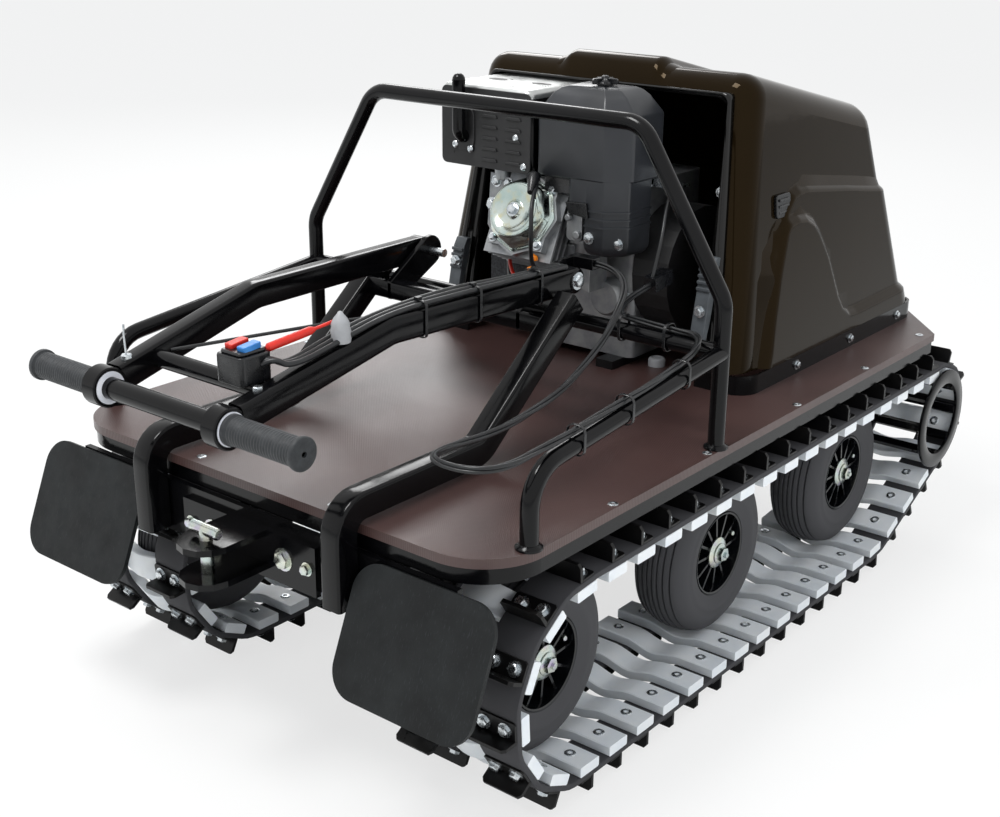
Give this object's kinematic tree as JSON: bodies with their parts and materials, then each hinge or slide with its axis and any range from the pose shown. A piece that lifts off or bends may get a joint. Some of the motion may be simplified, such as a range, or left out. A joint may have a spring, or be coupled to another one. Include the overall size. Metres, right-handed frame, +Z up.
{
  "type": "tracked snow tug",
  "caption": "Small motor tug on two slatted snow tracks, with a flat deck, an engine under a tilting hood, a guard hoop and a fold-up handlebar.",
  "frame": {"origin": "on the ground, midway between the tracks, at the middle of the object's length", "axes": "+X forward, +Y left, +Z up"},
  "size_m": [1.4202, 0.792, 0.819],
  "materials": {
    "belt_rubber": "matt black reinforced rubber",
    "white_plastic": "natural white polyethylene",
    "tyre_rubber": "worn black tyre rubber",
    "rim_plastic": "gloss black moulded plastic",
    "zinc_steel": "yellowish zinc plate",
    "black_steel": "semi-gloss black powder coat",
    "deck_board": "brown film-faced plywood with a mesh texture",
    "black_rubber": "matt black rubber sheet",
    "grip_rubber": "soft black ribbed grip rubber",
    "bushing_plastic": "white slide bearing plastic",
    "cast_alloy": "as-cast aluminium alloy",
    "cover_zinc": "zinc plated pressed steel",
    "cleaner_plastic": "dark grey moulded plastic",
    "muffler_steel": "bright pressed steel",
    "hood_plastic": "high gloss black thermoformed plastic",
    "black_plastic": "black moulded plastic",
    "strap_rubber": "grey-black moulded rubber",
    "cable_sheath": "black extruded cable sheath"
  },
  "bodies": {
    "chassis": {"air_cleaner": "cleaner_plastic", "axles": "zinc_steel", "cable_loop": "cable_sheath", "carburettor": "cast_alloy", "cleaner_knob": "black_plastic", "deck": "deck_board", "deck_edge": "black_steel", "drive_cages": "black_steel", "engine_base": "black_steel", "engine_block": "cast_alloy", "fan_housing": "black_steel", "frame": "black_steel", "guard_rails": "black_steel", "handlebar_supports": "black_steel", "hinge_brackets": "black_steel", "hood_skirt": "black_steel", "hub_caps": "zinc_steel", "mudflaps": "black_rubber", "muffler": "black_steel", "muffler_shield": "muffler_steel", "pivot_pins": "zinc_steel", "rear_plate": "black_steel", "rims": "rim_plastic", "tow_coupling": "black_steel", "tow_pin": "zinc_steel", "track_belts_left": "belt_rubber", "track_belts_right": "belt_rubber", "track_slats_left": "white_plastic", "track_slats_right": "white_plastic", "tyres": "tyre_rubber", "valve_cover": "cover_zinc", "wire_connector": "black_plastic"},
    "handlebar_frame": {"handlebar_frame": "black_steel", "bar_bushings": "bushing_plastic", "arm_cables": "cable_sheath", "switch_box": "black_plastic"},
    "handlebar": {"handlebar": "black_steel", "grips": "grip_rubber"},
    "hood": {"hood": "hood_plastic", "hood_hinges": "black_steel", "hood_latches": "strap_rubber"}
  },
  "joints": [
    {"name": "frame_hinge", "type": "hinge", "parent": "chassis", "child": "handlebar_frame", "pos_m": [-0.1115, 0, 0.55], "axis": [0, 1, 0], "range_deg": [0, 75]},
    {"name": "bar_turn", "type": "hinge", "parent": "handlebar_frame", "child": "handlebar", "pos_m": [-0.6855, 0, 0.498], "axis": [0, 1, 0], "range_deg": [-30, 30]},
    {"name": "hood_hinge", "type": "hinge", "parent": "chassis", "child": "hood", "pos_m": [0.66712, 0, 0.39328], "axis": [0, 1, 0], "range_deg": [0, 60]}
  ]
}
